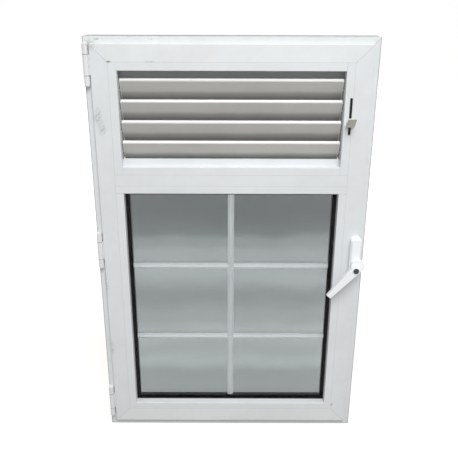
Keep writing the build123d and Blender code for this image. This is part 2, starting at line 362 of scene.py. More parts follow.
def unite(name, pieces):
    """Fuses overlapping pieces into one closed skin."""
    base = pieces[0]
    for other in pieces[1:]:
        fuse = base.modifiers.new("Fuse", "BOOLEAN")
        fuse.operation = "UNION"
        fuse.solver = "EXACT"
        fuse.object = other
        apply_modifiers(base)
        bpy.data.objects.remove(other)
    return rename(base, name)


def group_pieces(name, pieces):
    """Joins separate pieces into one object."""
    clear_selection()
    for piece in pieces:
        piece.select_set(True)
    bpy.context.view_layer.objects.active = pieces[0]
    bpy.ops.object.join()
    return rename(bpy.context.object, name)


def dress(piece, material, body="window"):
    """Gives a piece its material and the body it moves with."""
    piece.data.materials.clear()
    piece.data.materials.append(material)
    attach(piece, body)
    return piece


# Material groups


def new_group(name, inputs, outputs):
    """Node group with a place and named numbers going in and named values coming out.

    Returns the group, the sockets it starts from and the sockets it ends in.
    """
    group = bpy.data.node_groups.new(name, "ShaderNodeTree")
    group.interface.new_socket(name="Place", in_out="INPUT", socket_type="NodeSocketVector")
    for label, value in inputs.items():
        socket = group.interface.new_socket(name=label, in_out="INPUT", socket_type="NodeSocketFloat")
        socket.default_value = value
    for label in outputs:
        group.interface.new_socket(name=label, in_out="OUTPUT", socket_type="NodeSocketFloat")
    return group, group.nodes.new("NodeGroupInput").outputs, group.nodes.new("NodeGroupOutput").inputs


def add_node(tree, kind, values=None, **settings):
    node = tree.nodes.new(kind)
    for key, value in settings.items():
        setattr(node, key, value)
    for key, value in (values or {}).items():
        node.inputs[key].default_value = value
    return node


def calc(tree, operation, first, second=None, clamp=False):
    """Math node on sockets or plain numbers. Returns its output."""
    node = tree.nodes.new("ShaderNodeMath")
    node.operation = operation
    node.use_clamp = clamp
    for index, value in enumerate((first, second)):
        if value is None:
            continue
        if isinstance(value, (int, float)):
            node.inputs[index].default_value = value
        else:
            tree.links.new(value, node.inputs[index])
    return node.outputs[0]


def times(tree, first, second, clamp=False):
    return calc(tree, "MULTIPLY", first, second, clamp)


def plus(tree, first, second, clamp=False):
    return calc(tree, "ADD", first, second, clamp)


def minus(tree, first, second, clamp=False):
    return calc(tree, "SUBTRACT", first, second, clamp)


def larger(tree, first, second):
    return calc(tree, "MAXIMUM", first, second)


def ramp(tree, source, stops):
    """Eased ramp over stops of place and value."""
    node = tree.nodes.new("ShaderNodeValToRGB")
    node.color_ramp.interpolation = "EASE"
    points = node.color_ramp.elements
    while len(points) < len(stops):
        points.new(0.5)
    for point, (place, value) in zip(points, stops):
        point.position = place
        point.color = (value, value, value, 1)
    tree.links.new(source, node.inputs[0])
    return node.outputs["Color"]


def noise(tree, place, scale, detail=2.0, roughness=0.5):
    node = add_node(tree, "ShaderNodeTexNoise", {"Scale": scale, "Detail": detail, "Roughness": roughness})
    tree.links.new(place, node.inputs["Vector"])
    return node.outputs["Fac"]


def stretch(tree, place, scale, turn=(0, 0, 0)):
    node = add_node(tree, "ShaderNodeMapping", {"Scale": scale, "Rotation": turn})
    tree.links.new(place, node.inputs["Vector"])
    return node.outputs["Vector"]


def mix_colour(tree, amount, first, second):
    node = tree.nodes.new("ShaderNodeMix")
    node.data_type = "RGBA"
    for value, socket in ((amount, node.inputs[0]), (first, node.inputs[6]), (second, node.inputs[7])):
        if isinstance(value, bpy.types.NodeSocket):
            tree.links.new(value, socket)
        else:
            socket.default_value = value
    return node.outputs[2]


def object_place(tree):
    return add_node(tree, "ShaderNodeTexCoord").outputs["Object"]


def split_place(tree, place):
    """Outputs X, Y and Z of a place or direction."""
    node = add_node(tree, "ShaderNodeSeparateXYZ")
    tree.links.new(place, node.inputs[0])
    return node.outputs


def map_range(tree, value, low, high, start=0.0, stop=1.0):
    """Value carried from one range to another."""
    node = add_node(tree, "ShaderNodeMapRange", {
        "From Min": low, "From Max": high, "To Min": start, "To Max": stop})
    tree.links.new(value, node.inputs["Value"])
    return node.outputs["Result"]


def seen_rays(tree):
    """1 for rays from the camera, also after a mirror or a pane, and 0 for rays that light a surface."""
    path = tree.nodes.new("ShaderNodeLightPath").outputs
    direct = larger(tree, path["Is Camera Ray"], path["Is Glossy Ray"])
    return larger(tree, direct, path["Is Transmission Ray"])


def coat_grain_group():
    """Orange peel of a powder coat over soft waves, and slow changes in its shine."""
    group, start, end = new_group("Coat grain", {"Grain Size": 1.0}, ["Height", "Shine Change"])
    link = group.links.new
    peel = add_node(group, "ShaderNodeTexNoise", {"Detail": 3.0, "Roughness": 0.6})
    link(start["Place"], peel.inputs["Vector"])
    link(times(group, start["Grain Size"], 620.0), peel.inputs["Scale"])
    wave = noise(group, start["Place"], 38.0, 3.0, 0.55)
    link(plus(group, peel.outputs["Fac"], times(group, wave, 1.6)), end["Height"])
    link(noise(group, start["Place"], 9.0, 4.0, 0.6), end["Shine Change"])
    return group


def dust_group():
    """Dust that settles on faces that look up and in soft patches elsewhere."""
    group, start, end = new_group("Settled dust", {"Amount": 0.2}, ["Mask"])
    normal = split_place(group, add_node(group, "ShaderNodeNewGeometry").outputs["Normal"])
    upward = times(group, normal["Z"], 2.0, clamp=True)
    patches = ramp(group, noise(group, start["Place"], 14.0, 6.0, 0.62), [(0.42, 0.0), (0.78, 1.0)])
    specks = ramp(group, noise(group, start["Place"], 260.0, 2.0, 0.5), [(0.62, 0.0), (0.74, 1.0)])
    cover = plus(group, upward, times(group, patches, 0.8))
    cover = plus(group, cover, times(group, specks, 0.35))
    group.links.new(times(group, cover, start["Amount"], clamp=True), end["Mask"])
    return group


def scuff_group():
    """Fine scratches along and across the bars, and a few short dark scuffs."""
    group, start, end = new_group("Fine scuffs", {"Amount": 0.5}, ["Scratch", "Dark Mark"])
    place = start["Place"]
    along = noise(group, stretch(group, place, (9, 60, 420), (0, 0.35, 0)), 1.0, 3.0, 0.6)
    across = noise(group, stretch(group, place, (420, 60, 9), (0, -0.2, 0)), 1.0, 3.0, 0.6)
    thin = [(0.70, 0.0), (0.73, 1.0)]
    lines = larger(group, ramp(group, along, thin), ramp(group, across, thin))
    where = ramp(group, noise(group, place, 7.0, 3.0, 0.6), [(0.5, 0.0), (0.66, 1.0)])
    scratch = times(group, lines, where)
    group.links.new(times(group, scratch, start["Amount"], clamp=True), end["Scratch"])
    blots = ramp(group, noise(group, stretch(group, place, (36, 60, 90)), 1.0, 2.0, 0.5),
                 [(0.79, 0.0), (0.82, 1.0)])
    group.links.new(times(group, blots, start["Amount"], clamp=True), end["Dark Mark"])
    return group


def mitre_group():
    """Hairline where two bars of a ring meet at 45 degrees."""
    group, start, end = new_group("Mitre joint", {"Half Width": 0.35, "Height": 1.1, "Gap": 0.0005}, ["Mask"])
    spot = split_place(group, start["Place"])
    side = minus(group, start["Half Width"], calc(group, "ABSOLUTE", spot["X"]))
    over = minus(group, start["Height"], spot["Z"])
    top = calc(group, "ABSOLUTE", minus(group, side, over))
    low = calc(group, "ABSOLUTE", minus(group, side, spot["Z"]))
    near = calc(group, "MINIMUM", top, low)
    line = calc(group, "LESS_THAN", near, start["Gap"])
    group.links.new(line, end["Mask"])
    return group


def near_level(tree, value, level, reach):
    """1 where a coordinate lies within a reach of a level."""
    return calc(tree, "LESS_THAN", calc(tree, "ABSOLUTE", minus(tree, value, level)), reach)


def between(tree, value, low, high):
    """1 where a coordinate lies between two levels."""
    return times(tree, calc(tree, "GREATER_THAN", value, low), calc(tree, "LESS_THAN", value, high))


def seam_group():
    """Hairlines on the room face where the beads and the transom meet the sash."""
    group, start, end = new_group("Bead seams", {"Gap": 0.0006}, ["Mask"])
    spot = split_place(group, start["Place"])
    gap = start["Gap"]
    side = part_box("louvre_side_right")[1].x
    levels = (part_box("glazing_bead_bottom")[0].z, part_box("glazing_bead_top")[1].z,
              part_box("louvre_rail_bottom")[0].z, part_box("louvre_rail_top")[1].z)
    across = calc(group, "ABSOLUTE", spot["X"])
    beside = between(group, spot["Z"], levels[0], levels[-1])
    lines = times(group, near_level(group, across, side, gap), beside)
    for level in levels:
        lines = larger(group, lines, near_level(group, spot["Z"], level, gap))
    half_seam, skin = 0.0006, 0.001
    inside = calc(group, "LESS_THAN", across, side + half_seam)
    front = calc(group, "LESS_THAN", spot["Y"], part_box("sash_top_rail")[0].y + skin)
    group.links.new(times(group, times(group, lines, inside), front), end["Mask"])
    return group


def edge_line_group():
    """Painted shade along the frame's outer edges and on the rear half of its top."""
    group, start, end = new_group("Outer edge line", {"Top": 0.0006, "Side": 0.0018}, ["Mask"])
    spot = split_place(group, start["Place"])
    half_width, height = SOLIDS_BOX[1].x, SOLIDS_BOX[1].z
    over = minus(group, height, spot["Z"])
    beside = minus(group, half_width, calc(group, "ABSOLUTE", spot["X"]))
    rear = map_range(group, spot["Y"], -0.002, 0.002, 0.22, 1.0)
    top = times(group, calc(group, "LESS_THAN", over, start["Top"]), rear)
    side = calc(group, "LESS_THAN", beside, start["Side"])
    foot = calc(group, "LESS_THAN", spot["Z"], start["Side"])
    patchy = ramp(group, noise(group, start["Place"], 26.0, 4.0, 0.6), [(0.3, 0.85), (0.6, 1.0)])
    line = larger(group, top, times(group, larger(group, side, foot), 0.55))
    group.links.new(times(group, line, patchy), end["Mask"])
    return group


# Each grey mark: x, z, half width, half height and strength. The marks at heights 0.913 and 0.885 are painted
# shade below the top hinge; the two narrow ones lower down darken a strip along the left edge; the rest are
# smudges.
SMUDGES_AND_HINGE_SHADE = (
    (-0.317, 1.0943, 0.008, 0.0025, 0.7), (-0.189, 1.0945, 0.006, 0.002, 0.6),
    (-0.2905, 1.0440, 0.007, 0.003, 1.0), (-0.193, 1.0440, 0.017, 0.0016, 0.7),
    (-0.324, 0.913, 0.012, 0.026, 0.5), (-0.316, 0.885, 0.012, 0.022, 0.45),
    (-0.332, 1.082, 0.014, 0.016, 0.4), (0.296, 0.072, 0.004, 0.006, 0.6),
    (-0.334, 0.458, 0.006, 0.045, 0.4), (-0.331, 0.258, 0.005, 0.035, 0.35),
)


def smudge_and_hinge_shade_group():
    """A few grey smudges and rubbed marks from handling, painted shade below the top hinge, and two narrow
    grey marks along the left edge.
    """
    group, start, end = new_group("Smudges and hinge shade", {}, ["Mask"])
    face = split_place(group, start["Place"])
    total = 0.0
    for x, z, wide, tall, depth in SMUDGES_AND_HINGE_SHADE:
        along = calc(group, "DIVIDE", minus(group, face["X"], x), wide)
        above = calc(group, "DIVIDE", minus(group, face["Z"], z), tall)
        far = plus(group, times(group, along, along), times(group, above, above))
        spot = times(group, minus(group, 1.0, far, clamp=True), depth)
        total = larger(group, total, spot)
    rubbed = ramp(group, noise(group, start["Place"], 150.0, 4.0, 0.6), [(0.35, 0.0), (0.6, 1.0)])
    group.links.new(times(group, total, rubbed), end["Mask"])
    return group


GROUP_MAKERS = {
    "Bead seams": seam_group,
    "Outer edge line": edge_line_group,
    "Smudges and hinge shade": smudge_and_hinge_shade_group,
    "Coat grain": coat_grain_group,
    "Settled dust": dust_group,
    "Fine scuffs": scuff_group,
    "Mitre joint": mitre_group,
}


def place_group(tree, name, place, **values):
    """Places a group in a material with its own values. Returns its outputs."""
    group = bpy.data.node_groups.get(name) or GROUP_MAKERS[name]()
    node = tree.nodes.new("ShaderNodeGroup")
    node.node_tree = group
    tree.links.new(place, node.inputs["Place"])
    for key, value in values.items():
        node.inputs[key.replace("_", " ").title()].default_value = value
    return node.outputs


# Materials


def new_material(name):
    """Material with a Principled shader. Returns it, its tree and the shader."""
    material = bpy.data.materials.new(name)
    material.use_nodes = True
    tree = material.node_tree
    return material, tree, tree.nodes["Principled BSDF"]


def set_bump(tree, shader, height, strength, distance):
    bump = add_node(tree, "ShaderNodeBump", {"Strength": strength, "Distance": distance})
    tree.links.new(height, bump.inputs["Height"])
    tree.links.new(bump.outputs["Normal"], shader.inputs["Normal"])


def made(name):
    return bpy.data.materials.get(name)


def paint(name, colour, roughness=0.38, dust=1.0, scuffs=1.0, mitred_with_edge_shade=False, seams=False, painted_slat_light=False,
          grain=1.0, bump=0.10):
    """White powder coat: grain, dust, scratches and, on the bars, smudges and the joints' hairlines; also
    painted shade along the frame's edges, below the top hinge and inside the louvre, and painted shade and
    highlight on the slats.
    """
    if made(name):
        return made(name)
    material, tree, shader = new_material(name)
    place = object_place(tree)
    coat = place_group(tree, "Coat grain", place, grain_size=grain)
    dirt = place_group(tree, "Settled dust", place, amount=finishes().dust_amount * dust)["Mask"]
    marks = place_group(tree, "Fine scuffs", place, amount=finishes().scuff_amount * scuffs)
    shade = tuple(part * 0.955 for part in colour[:3]) + (1,)
    cloud = ramp(tree, coat["Shine Change"], [(0.35, 0.0), (0.7, 1.0)])
    tint = mix_colour(tree, cloud, tuple(colour), shade)
    tint = mix_colour(tree, dirt, tint, tuple(finishes().dust_colour))
    tint = mix_colour(tree, times(tree, marks["Scratch"], 0.5), tint, SCRATCH_GREY)
    tint = mix_colour(tree, times(tree, marks["Dark Mark"], 0.9), tint, SCUFF_GREY)
    if mitred_with_edge_shade:
        seam = place_group(tree, "Mitre joint", place, half_width=SOLIDS_BOX[1].x, height=SOLIDS_BOX[1].z)
        tint = mix_colour(tree, times(tree, seam["Mask"], 0.55), tint, SEAM_GREY)
    if seams or mitred_with_edge_shade:
        lines = place_group(tree, "Bead seams", place)["Mask"]
        tint = mix_colour(tree, times(tree, lines, 0.2), tint, SEAM_GREY)
        # Grey smudges, and painted shade below the top hinge.
        smudge_and_shade = place_group(tree, "Smudges and hinge shade", place)["Mask"]
        tint = mix_colour(tree, smudge_and_shade, tint, SMUDGE_AND_SHADE_GREY)
    if mitred_with_edge_shade:
        # Painted shade along the frame's outer edges and on the rear half of its top.
        rim = place_group(tree, "Outer edge line", place)["Mask"]
        tint = mix_colour(tree, rim, tint, EDGE_SHADE_BLACK)
    # Painted shade inside the louvre's hollow uprights and on the lip over the top slat.
    if seams:
        tint = hollow_and_lip_shade(tree, place, tint)
    # Painted shade on the slats' room faces and a painted highlight on their upper edges.
    if painted_slat_light:
        tint = slat_shade_and_highlight(tree, place, tint)
    tree.links.new(tint, shader.inputs["Base Color"])
    rough = plus(tree, roughness - 0.06, times(tree, coat["Shine Change"], 0.12))
    rough = plus(tree, rough, times(tree, dirt, 0.5), clamp=True)
    tree.links.new(rough, shader.inputs["Roughness"])
    shader.inputs["Specular IOR Level"].default_value = 0.4
    set_bump(tree, shader, coat["Height"], bump, 0.0004)
    return material


def hollow_and_lip_shade(tree, place, tint):
    """Painted shade: near black inside the louvre's uprights, and darker on the lip over the top slat."""
    low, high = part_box("louvre_side_right")
    side_skin, front_skin, rear_skin = 0.001, 0.0003, 0.0005
    lip_front, lip_foot, lip_drop = -0.012, 0.99, 0.0203
    spot = split_place(tree, place)
    across = between(tree, calc(tree, "ABSOLUTE", spot["X"]), low.x + side_skin, high.x - side_skin)
    deep = between(tree, spot["Y"], low.y + front_skin, high.y - rear_skin)
    level = between(tree, spot["Z"], low.z, high.z)
    hidden = times(tree, times(tree, across, deep), level)
    tint = mix_colour(tree, hidden, tint, HOLLOW_SHADE_BLACK)
    lip = between(tree, spot["Y"], lip_front, high.y - rear_skin)
    lip = times(tree, lip, between(tree, spot["Z"], lip_foot, high.z - lip_drop))
    return mix_colour(tree, times(tree, lip, 0.5), tint, LIP_SHADE)


# The crossbars get the lighter copy of the white and the uprights the darker: painted sheen and painted
# shade.
def frame_crossbar_paint():
    return paint("Crossbar paint", finishes().crossbar_paint_lit, mitred_with_edge_shade=True)


def frame_upright_paint():
    return paint("Upright paint", finishes().upright_paint_shaded, mitred_with_edge_shade=True)


def bead_paint():
    return paint("Bead paint", finishes().upright_paint_shaded, dust=0.3, seams=True)


def slat_paint():
    # Its colour is darker than the frame's white, as painted shade on the slats.
    return paint("Slat paint", finishes().slat_paint, roughness=0.42, dust=0.2, scuffs=0.6, painted_slat_light=True)


def slat_shade_and_highlight(tree, place, tint):
    """Painted shade that darkens every slat's room face towards its lower edge, and a painted highlight on
    its pale upper edge.
    """
    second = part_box("louvre_slat_2")[0].z
    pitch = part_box("louvre_slat_1")[0].z - second
    spot = split_place(tree, place)
    steps = calc(tree, "DIVIDE", minus(tree, spot["Z"], second), pitch)
    share = calc(tree, "FRACT", plus(tree, steps, 4.0))
    cloud = times(tree, noise(tree, place, 11.0, 4.0, 0.6), 0.12)
    share = plus(tree, share, minus(tree, cloud, 0.06))
    dark = ramp(tree, share, [(0.12, 0.68), (0.30, 0.42), (0.55, 0.0)])
    dark = times(tree, dark, map_range(tree, spot["Y"], SLAT_FRONT - 0.001, SLAT_FRONT + 0.003))
    tint = mix_colour(tree, dark, tint, SLAT_SHADE_GREY)
    lift = calc(tree, "FRACT", plus(tree, steps, 4.0 - sizes().slat_edge_start / pitch))
    high = calc(tree, "LESS_THAN", lift, 0.14)
    edge = times(tree, high, calc(tree, "LESS_THAN", spot["Y"], SLAT_FRONT))
    return mix_colour(tree, edge, tint, SLAT_EDGE_HIGHLIGHT)


def handle_paint():
    return paint("Handle gloss paint", finishes().handle_paint, roughness=0.22, dust=0.4, scuffs=0.5,
                 grain=0.7, bump=0.04)


def hinge_paint():
    return paint("Hinge paint", (0.76, 0.77, 0.79, 1), roughness=0.34, dust=1.2, scuffs=1.2)


def bar_paint():
    """Satin white of the glazing bars, with painted shade on the upright bar and on the faces that look down.
    """
    if made("Glazing bar paint"):
        return made("Glazing bar paint")
    material = paint("Glazing bar paint", (0.97, 0.95, 0.95, 1), roughness=0.4, dust=0.0, scuffs=0.0)
    tree = material.node_tree
    shader = tree.nodes["Principled BSDF"]
    tint = shader.inputs["Base Color"].links[0].from_socket
    margin, bar_shade_strength = 0.0002, 0.24
    spot = split_place(tree, object_place(tree))
    upright = near_level(tree, spot["X"], 0.0, sizes().bar_width / 2 + margin)
    normal = split_place(tree, add_node(tree, "ShaderNodeNewGeometry").outputs["Normal"])
    under = calc(tree, "LESS_THAN", normal["Z"], -0.2)
    # Painted shade on the upright bar and on the bars' down-facing faces.
    dull = times(tree, larger(tree, upright, under), bar_shade_strength)
    tree.links.new(mix_colour(tree, dull, tint, BAR_SHADE_GREY), shader.inputs["Base Color"])
    return material


def plastic(name, colour, roughness, dust=0.6, speckle=900.0, bump=0.12):
    """Moulded plastic with a fine spark-eroded texture."""
    if made(name):
        return made(name)
    material, tree, shader = new_material(name)
    place = object_place(tree)
    dirt = place_group(tree, "Settled dust", place, amount=finishes().dust_amount * dust)["Mask"]
    skin = noise(tree, place, speckle, 3.0, 0.6)
    soft = ramp(tree, noise(tree, place, 30.0, 4.0, 0.6), [(0.3, 0.0), (0.75, 1.0)])
    darker = tuple(part * 0.9 for part in colour) + (1,)
    tint = mix_colour(tree, soft, colour + (1,), darker)
    tint = mix_colour(tree, dirt, tint, tuple(finishes().dust_colour))
    tree.links.new(tint, shader.inputs["Base Color"])
    tree.links.new(plus(tree, roughness, times(tree, dirt, 0.4), clamp=True), shader.inputs["Roughness"])
    set_bump(tree, shader, skin, bump, 0.0003)
    return material


def cap_plastic():
    return plastic("Grey end cap plastic", (0.76, 0.76, 0.74), 0.4)


def tab_plastic():
    return plastic("Beige tab plastic", (0.76, 0.74, 0.70), 0.5, dust=1.0)


def gap_shade_plastic():
    # Near black as painted shade in the gaps between the hinge knuckles.
    return plastic("Dark plastic for the knuckle gap shade", (0.06, 0.06, 0.065), 0.5, dust=0.2)


def dark_plastic():
    return plastic("Dark cap plastic", (0.035, 0.035, 0.04), 0.35, dust=0.1)


def rubber():
    return plastic("Black gasket rubber", (0.012, 0.012, 0.014), 0.62, dust=0.12, speckle=700.0, bump=0.2)


def brush_pile_as_gap_shade():
    """Dark grey pile with fine level tufts, as painted shade in the gaps at the slats' ends."""
    if made("Dark pile for the slat end shade"):
        return made("Dark pile for the slat end shade")
    material, tree, shader = new_material("Dark pile for the slat end shade")
    place = object_place(tree)
    tufts = noise(tree, stretch(tree, place, (1, 40, 1400)), 1.0, 2.0, 0.6)
    tree.links.new(mix_colour(tree, tufts, (0.20, 0.20, 0.20, 1), (0.42, 0.42, 0.42, 1)),
                   shader.inputs["Base Color"])
    shader.inputs["Roughness"].default_value = 0.9
    set_bump(tree, shader, tufts, 0.5, 0.0005)
    return material


def spacer_finish():
    return plastic("Black spacer", (0.022, 0.022, 0.025), 0.48, dust=0.0, speckle=500.0)


def steel():
    """Zinc-plated steel with drawn lines and dull patches."""
    if made("Plated steel"):
        return made("Plated steel")
    material, tree, shader = new_material("Plated steel")
    place = object_place(tree)
    drawn = noise(tree, stretch(tree, place, (900, 900, 25)), 1.0, 3.0, 0.6)
    patches = ramp(tree, noise(tree, place, 60.0, 5.0, 0.65), [(0.35, 0.0), (0.7, 1.0)])
    tree.links.new(mix_colour(tree, patches, (0.62, 0.62, 0.62, 1), (0.40, 0.40, 0.41, 1)),
                   shader.inputs["Base Color"])
    shader.inputs["Metallic"].default_value = 1.0
    tree.links.new(plus(tree, 0.26, times(tree, patches, 0.22)), shader.inputs["Roughness"])
    set_bump(tree, shader, drawn, 0.15, 0.0002)
    return material


def dark_steel_as_slot_shade():
    """Near-black steel of the bar that slides behind the slot: painted shade seen through the slot."""
    if made("Dark steel for the slot shade"):
        return made("Dark steel for the slot shade")
    material, tree, shader = new_material("Dark steel for the slot shade")
    patches = noise(tree, object_place(tree), 90.0, 4.0, 0.6)
    tree.links.new(mix_colour(tree, patches, (0.012, 0.012, 0.013, 1), (0.035, 0.035, 0.035, 1)),
                   shader.inputs["Base Color"])
    shader.inputs["Metallic"].default_value = 0.6
    tree.links.new(plus(tree, 0.35, times(tree, patches, 0.3)), shader.inputs["Roughness"])
    set_bump(tree, shader, patches, 0.1, 0.0002)
    return material


def clear_pane():
    """Room-side pane: clear float glass with a few wipe marks."""
    if made("Clear pane"):
        return made("Clear pane")
    material, tree, shader = new_material("Clear pane")
    place = object_place(tree)
    wipe = ramp(tree, noise(tree, stretch(tree, place, (6, 6, 22), (0, 0.6, 0)), 1.0, 5.0, 0.65),
                [(0.45, 0.0), (0.8, 1.0)])
    tree.links.new(mix_colour(tree, wipe, (0.92, 0.965, 0.975, 1), (0.88, 0.93, 0.945, 1)),
                   shader.inputs["Base Color"])
    shader.inputs["Transmission Weight"].default_value = 1.0
    shader.inputs["IOR"].default_value = 1.25
    shader.inputs["Roughness"].default_value = 0.0
    return material


# Painted reflection in soft level bands: height up the pane, and how much light the glass lets through there
PAINTED_REFLECTION_BANDS = (
    (0.00, 0.39), (0.08, 0.34), (0.14, 0.33), (0.20, 0.44), (0.26, 0.39), (0.33, 0.44), (0.42, 0.35),
    (0.53, 0.265), (0.61, 0.37), (0.70, 0.32), (0.76, 0.245), (0.81, 0.135), (0.88, 0.102),
    (1.00, 0.093),
)


def tinted_pane_with_painted_reflection():
    """Outdoor pane: grey-green glass with a painted reflection of the surroundings in soft level bands,
    darker towards the top.
    """
    if made("Tinted pane with painted reflection"):
        return made("Tinted pane with painted reflection")
    material, tree, shader = new_material("Tinted pane with painted reflection")
    place = object_place(tree)
    low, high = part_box("glass_outer")
    drift = noise(tree, stretch(tree, place, (3.2, 1, 5.5)), 1.0, 3.0, 0.5)
    drift = times(tree, minus(tree, drift, 0.5), 0.09)
    lifted = plus(tree, split_place(tree, place)["Z"], drift)
    level = calc(tree, "DIVIDE", minus(tree, lifted, low.z), high.z - low.z)
    # Painted reflection: the pane darkens in level bands, most towards the top.
    reflection_bands = ramp(tree, level, PAINTED_REFLECTION_BANDS)
    tint = mix_colour(tree, reflection_bands, (0, 0, 0, 1), (0.9425, 0.995, 0.995, 1))
    tree.links.new(tint, shader.inputs["Base Color"])
    shader.inputs["Transmission Weight"].default_value = 1.0
    shader.inputs["IOR"].default_value = 1.5
    shader.inputs["Roughness"].default_value = 0.0
    return material


def node_finishes():
    """Finish for every solid by its name."""
    chosen = {
        "frame_head": frame_crossbar_paint, "frame_sill": frame_crossbar_paint,
        "frame_jamb_left": frame_upright_paint, "frame_jamb_right": frame_upright_paint,
        "sash_top_rail": frame_crossbar_paint, "sash_bottom_rail": frame_crossbar_paint,
        "sash_stile_left": frame_upright_paint, "sash_stile_right": frame_upright_paint,
        "sash_transom": bead_paint, "glazing_bead_top": bead_paint, "glazing_bead_bottom": bead_paint,
        "glazing_bead_left": bead_paint, "glazing_bead_right": bead_paint,
        "louvre_rail_top": bead_paint, "louvre_rail_bottom": bead_paint,
        "louvre_side_left": bead_paint, "louvre_side_right": bead_paint,
        "glass_inner": clear_pane, "glass_outer": tinted_pane_with_painted_reflection, "glass_spacer": spacer_finish,
        "glazing_gaskets": rubber, "sash_seals": rubber,
        "louvre_drive_bar": dark_steel_as_slot_shade, "louvre_pull_tab": tab_plastic,
        "handle_base": handle_paint, "handle_lever": handle_paint, "handle_cap": dark_plastic,
    }
    for node in NODES:
        if node.startswith("louvre_slat_"):
            chosen[node] = slat_paint
        elif node.endswith("_caps"):
            chosen[node] = cap_plastic
        elif node.endswith("_pin"):
            chosen[node] = steel
        elif node.startswith("hinge_"):
            chosen[node] = hinge_paint
    return chosen


# Operators


class FinishSolids(bpy.types.Operator):
    """Give every solid of the window its finish."""

    bl_idname = "window.finish_solids"
    bl_label = "Finish the solids"

    def execute(self, context):
        for name, finish in node_finishes().items():
            node = NODES[name]
            node.data.materials.clear()
            node.data.materials.append(finish())
        return {"FINISHED"}


def ridged_bar(name, low, high, across):
    """Glazing bar between two corners (x, z): a thin core whose faces rise to a narrow ridge."""
    core = 0.0012
    ridge = sizes().bar_ridge / sizes().bar_width
    rise = sizes().bar_depth / 2 - core
    bar = block(name, (low[0], -core, low[1]), (high[0], core, high[1]))
    for side in HANDED_PAIR:
        with editing(bar):
            pick_faces(bar, facing((0, side, 0)))
            bpy.ops.mesh.extrude_region_move(TRANSFORM_OT_translate={"value": (0, side * rise, 0)})
            narrow = (ridge, 1, 1) if across == "X" else (1, 1, ridge)
            bpy.ops.transform.resize(value=narrow)
    return bar


class GlazingBars(bpy.types.Operator):
    """Model the white bars between the panes."""

    bl_idname = "window.glazing_bars"
    bl_label = "Glazing bars"

    def execute(self, context):
        half = sizes().bar_width / 2
        tuck = 0.001
        low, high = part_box("glass_spacer")
        edge = sizes().spacer_height - tuck
        reach = high.x - edge
        bars = [ridged_bar("upright", (-half, low.z + edge), (half, high.z - edge), "X")]
        for number, level in enumerate((sizes().upper_bar_height, sizes().lower_bar_height)):
            bars.append(ridged_bar(f"cross {number}", (-reach, level - half), (reach, level + half), "Z"))
        grid = unite("glazing_bars", bars)
        soften(grid, 20)
        dress(grid, bar_paint())
        return {"FINISHED"}


class HandleDetails(bpy.types.Operator):
    """Model the handle's dark cap with its sunk centre."""

    bl_idname = "window.handle_details"
    bl_label = "Handle details"

    def execute(self, context):
        low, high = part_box("handle_cap")
        centre = (low + high) / 2
        cap = disc("handle_cap_button", centre, (high.x - low.x) / 2, high.y - low.y, "Y", 48)
        with editing(cap):
            pick_faces(cap, facing((0, -1, 0)))
            bpy.ops.mesh.inset(thickness=0.0007)
            bpy.ops.mesh.inset(thickness=0.0022)
            bpy.ops.transform.translate(value=(0, 0.0009, 0))
            bpy.ops.mesh.inset(thickness=0.0012)
            bpy.ops.transform.translate(value=(0, -0.0005, 0))
        bevel_all(cap, 0.0004, 3)
        dress(cap, dark_plastic(), "handle_lever")
        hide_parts("handle_cap")
        return {"FINISHED"}


class HingeDetails(bpy.types.Operator):
    """Model the domed caps on the hinge pins and the dark bushes between the knuckles, which are painted
    shade in the gaps.
    """

    bl_idname = "window.hinge_details"
    bl_label = "Hinge details"

    def execute(self, context):
        pieces = []
        tall, radius = sizes().pin_cap_height, sizes().pin_cap_radius
        for place in HINGES:
            low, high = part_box(f"hinge_{place}_pin")
            x, y = (low.x + high.x) / 2, (low.y + high.y) / 2
            for level, up in ((high.z, 1), (low.z, -1)):
                cap = disc(f"cap {place} {up}", (x, y, level + up * tall / 2), radius, tall, "Z", 32)
                with editing(cap):
                    pick_faces(cap, facing((0, 0, up)))
                    bpy.ops.mesh.inset(thickness=0.0014)
                    bpy.ops.transform.translate(value=(0, 0, up * 0.0007))
                pieces.append(bevel_all(cap, 0.0006, 3, 20))
        caps = group_pieces("hinge_pin_caps", pieces)
        dress(caps, cap_plastic())
        self.gap_shade_rings()
        return {"FINISHED"}

    def gap_shade_rings(self):
        """Dark bushes whose flanges fill the gaps between the knuckles: painted shade in the gaps."""
        rings = []
        tall, radius, half_gap = sizes().washer_height, sizes().washer_radius, 0.0005
        for place in HINGES:
            low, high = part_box(f"hinge_{place}_pin")
            x, y = (low.x + high.x) / 2, (low.y + high.y) / 2
            low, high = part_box(f"hinge_{place}_sash_leaf")
            for level in (low.z - half_gap, high.z + half_gap):
                ring = disc(f"washer {place}", (x, y, level), radius, tall, "Z", 40)
                rings.append(bevel_all(ring, 0.0004, 2, 20))
        dress(group_pieces("hinge_gap_shade_rings", rings), gap_shade_plastic())


